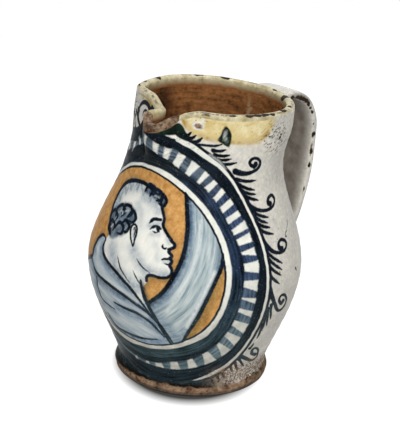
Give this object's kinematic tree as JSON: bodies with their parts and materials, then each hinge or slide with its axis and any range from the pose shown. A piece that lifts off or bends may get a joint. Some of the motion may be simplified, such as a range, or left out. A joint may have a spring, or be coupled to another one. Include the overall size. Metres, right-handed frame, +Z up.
{
  "type": "jug",
  "caption": "Thrown earthenware jug with a pinched pouring lip, a pear-shaped body on a flared foot, a strap handle and a painted tin glaze.",
  "frame": {"origin": "centre of the flat resting face under the foot", "axes": "+Z up, the pouring lip toward -Y and the handle toward +Y"},
  "size_m": [0.1344, 0.1656, 0.1822],
  "materials": {
    "red_clay": "fired, bare and matt",
    "luting_clay": "fired under a thin glaze",
    "painted_tin_glaze": "glossy, hand painted",
    "cream_glaze": "glossy, worn",
    "lead_glaze": "glossy, streaked",
    "plain_tin_glaze": "glossy"
  },
  "bodies": {
    "root": {"body": "red_clay", "handle": "red_clay", "upper_lute": "luting_clay", "lower_lute": "luting_clay", "outer_glaze": "painted_tin_glaze", "rim_glaze": "cream_glaze", "lining_glaze": "lead_glaze", "handle_glaze": "plain_tin_glaze"}
  },
  "joints": []
}
